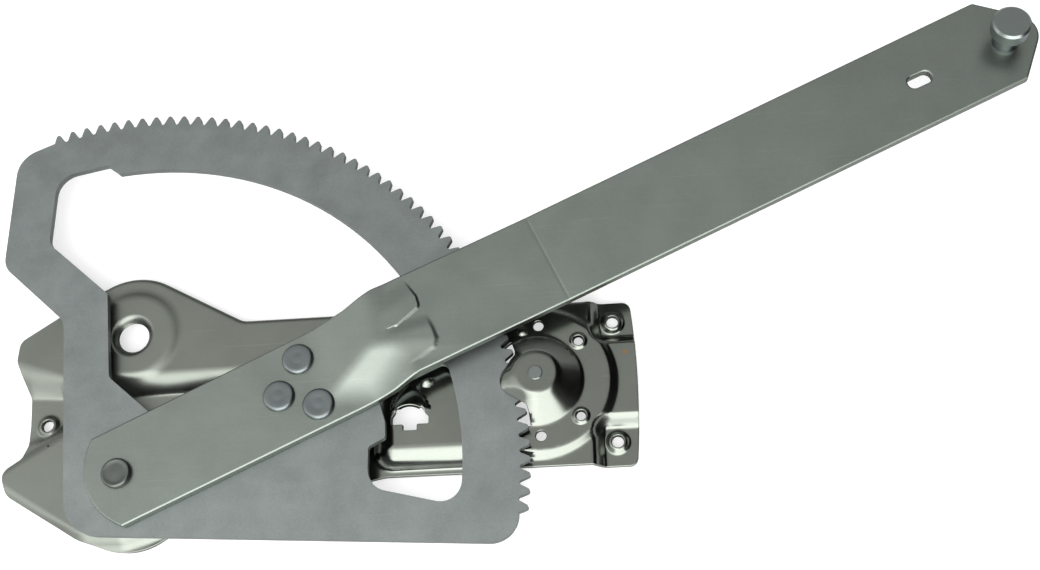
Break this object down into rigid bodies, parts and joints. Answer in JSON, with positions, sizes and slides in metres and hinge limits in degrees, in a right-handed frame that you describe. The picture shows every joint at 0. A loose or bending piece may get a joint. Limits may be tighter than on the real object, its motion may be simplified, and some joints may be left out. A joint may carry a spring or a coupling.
{
  "type": "window regulator",
  "caption": "Single-arm door window regulator: a pressed base plate with a domed pinion housing carries a toothed sector, whose long cranked arm ends in a headed stud.",
  "frame": {"origin": "where the pinion's axis meets the door panel's face, which is the plane of the base plate's pads", "axes": "+Z away from the panel, along the pinion and pivot axes; +X along the base plate from its pivot end to its motor ring; +Y towards the plate's large hole"},
  "size_m": [0.4347, 0.2117, 0.0454],
  "materials": {
    "plate_zinc": "bright zinc plating on pressed sheet",
    "sector_zinc": "matte bluish zinc plating on a stamped plate",
    "arm_zinc": "matte greenish zinc plating with fine rolling lines",
    "rivet_steel": "bluish plated rivet heads with bright rims",
    "turned_steel": "turned and plated",
    "gear_steel": "sintered, lightly oiled",
    "bush_bronze": "plain bearing bronze"
  },
  "bodies": {
    "base": {"base_plate": "plate_zinc", "pivot_pin": "rivet_steel", "pivot_spacer": "turned_steel", "pinion_spindle": "turned_steel", "spindle_clip": "turned_steel", "thrust_washer": "turned_steel"},
    "lift": {"sector_gear": "sector_zinc", "lift_arm": "arm_zinc", "arm_rivets": "rivet_steel", "pivot_bush": "bush_bronze", "roller_stud": "turned_steel"},
    "pinion": {"drive_pinion": "gear_steel", "pinion_bush": "bush_bronze"}
  },
  "joints": [
    {"name": "sector_swing", "type": "hinge", "parent": "base", "child": "lift", "pos_m": [-0.1648, -0.03263, 0.0135], "axis": [0, 0, 1], "range_deg": [-90, 14]},
    {"name": "pinion_spin", "type": "hinge", "parent": "base", "child": "pinion", "pos_m": [0, 0, 0.0135], "axis": [0, 0, 1], "range_deg": [-285, 1805]}
  ],
  "couplings": [
    {"joint": "pinion_spin", "follows": "sector_swing", "ratio": -20}
  ]
}
